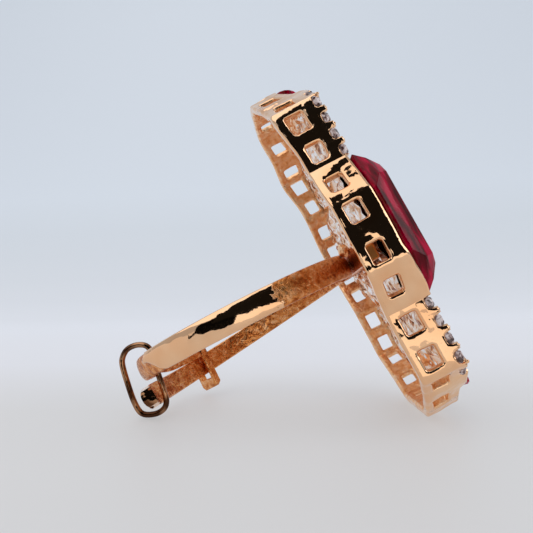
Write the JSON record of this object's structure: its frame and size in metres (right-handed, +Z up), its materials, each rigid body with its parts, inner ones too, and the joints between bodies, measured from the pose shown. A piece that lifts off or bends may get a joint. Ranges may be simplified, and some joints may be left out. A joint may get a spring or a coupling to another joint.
{
  "type": "cocktail ring",
  "caption": "Adjustable cocktail ring with an openwork stepped head, a large step-cut centre stone, small set stones and a shank of two overlapping strips.",
  "frame": {"origin": "middle of the part's footprint, on the table it lies on", "axes": "+Z up from the table, +X from the shank towards the head, +Y across the head, away from the viewer; the ring lies on its side"},
  "size_m": [0.0282, 0.0222, 0.0275],
  "materials": {
    "rose_gold": "polished plating",
    "red_glass": "polished facets",
    "clear_crystal": "polished facets"
  },
  "bodies": {
    "head_and_near_strip": {"centre_seat": "rose_gold", "centre_stone": "red_glass", "clear_stone_01": "clear_crystal", "clear_stone_02": "clear_crystal", "clear_stone_03": "clear_crystal", "clear_stone_04": "clear_crystal", "clear_stone_05": "clear_crystal", "clear_stone_06": "clear_crystal", "clear_stone_07": "clear_crystal", "clear_stone_08": "clear_crystal", "clear_stone_09": "clear_crystal", "clear_stone_10": "clear_crystal", "clear_stone_11": "clear_crystal", "clear_stone_12": "clear_crystal", "clear_stone_13": "clear_crystal", "clear_stone_14": "clear_crystal", "clear_stone_15": "clear_crystal", "clear_stone_16": "clear_crystal", "clear_stone_17": "clear_crystal", "clear_stone_18": "clear_crystal", "clear_stone_19": "clear_crystal", "clear_stone_20": "clear_crystal", "cross_bar": "rose_gold", "gallery_wall": "rose_gold", "keeper": "rose_gold", "lower_panel": "rose_gold", "lower_tab_plate": "rose_gold", "lower_tab_stone": "red_glass", "near_strip": "rose_gold", "red_accent_1": "red_glass", "red_accent_2": "red_glass", "red_accent_3": "red_glass", "red_accent_4": "red_glass", "tongue": "rose_gold", "upper_panel": "rose_gold", "upper_tab_plate": "rose_gold", "upper_tab_stone": "red_glass"},
    "far_strip_and_loop": {"far_strip": "rose_gold", "wire_loop": "rose_gold"}
  },
  "joints": [
    {"name": "size_adjust", "type": "hinge", "parent": "head_and_near_strip", "child": "far_strip_and_loop", "pos_m": [0.00551, 0.00145, 0.01215], "axis": [0.4356, -0.0426, -0.8992], "range_deg": [-1, 2.5]}
  ]
}
